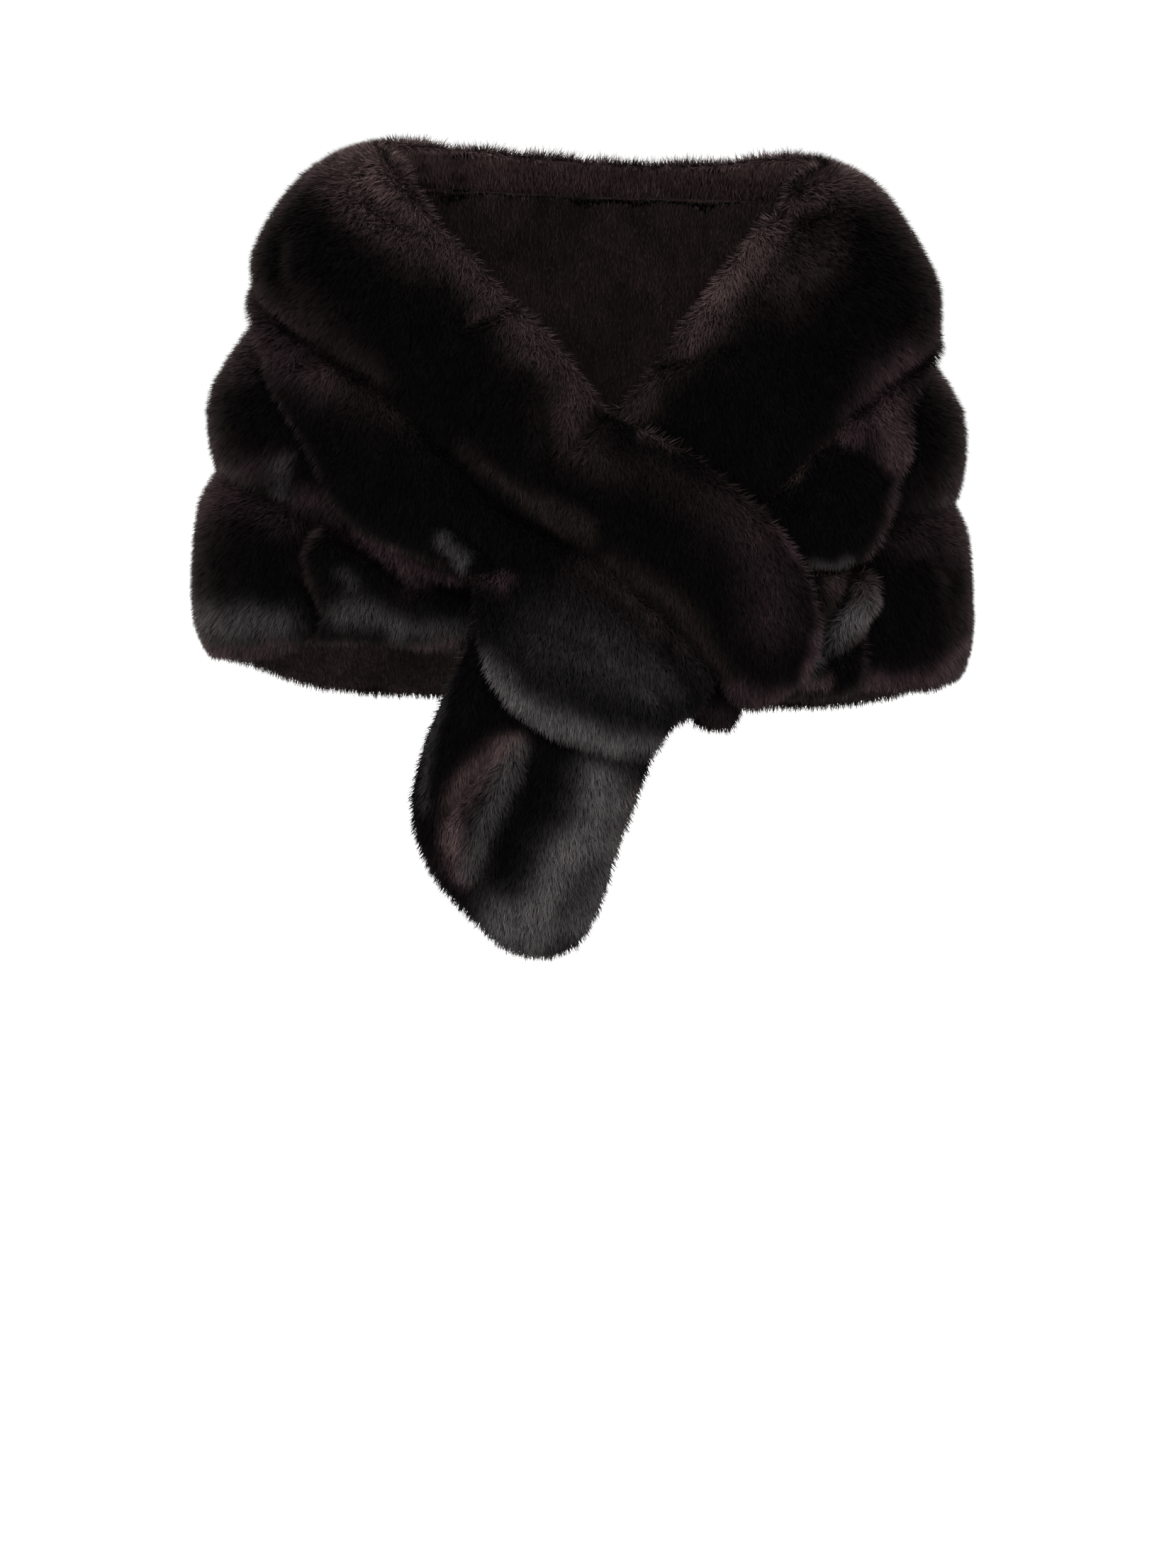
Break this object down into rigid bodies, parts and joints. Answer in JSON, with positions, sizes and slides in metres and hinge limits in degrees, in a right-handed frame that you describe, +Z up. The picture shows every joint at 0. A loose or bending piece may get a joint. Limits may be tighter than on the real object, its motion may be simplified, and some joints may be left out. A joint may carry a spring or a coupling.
{
  "type": "fur collar stole",
  "caption": "Plush dark fur stole with a wide shawl collar, its two ends crossed and tucked at the front, held hollow in its worn shape.",
  "frame": {"origin": "on the axis of the wearer's body, level with the shoulders, where the wearer holds the stole up", "axes": "+Z up as worn; -Y is the way the wearer faces, where the ends cross; +X is to the right in the picture; Y, front to back, is the shortest extent"},
  "size_m": [0.6752, 0.3712, 0.6642],
  "materials": {
    "body_fur": "short dense plush fur, near black with plum-brown seams and cool grey tips above the hem",
    "collar_fur": "short dense plush fur, near black with brownish plum at the neckline and the row edges",
    "front_fur": "short dense plush fur, near black fading to cool grey towards the edges"
  },
  "bodies": {
    "root": {"upper_row_left": "body_fur", "upper_row_back": "body_fur", "upper_row_right": "body_fur", "hem_row_left": "body_fur", "hem_row_back": "body_fur", "hem_row_right": "body_fur", "collar_inner_back": "collar_fur", "collar_outer_back": "collar_fur", "collar_inner_left": "collar_fur", "collar_outer_left": "collar_fur", "crossing_band": "collar_fur", "flap": "front_fur", "flap_lobe": "front_fur", "tail": "front_fur", "gathered_front": "front_fur", "collar_inner_right": "collar_fur", "collar_outer_right_upper": "collar_fur", "collar_outer_right_lower": "collar_fur"}
  },
  "joints": []
}
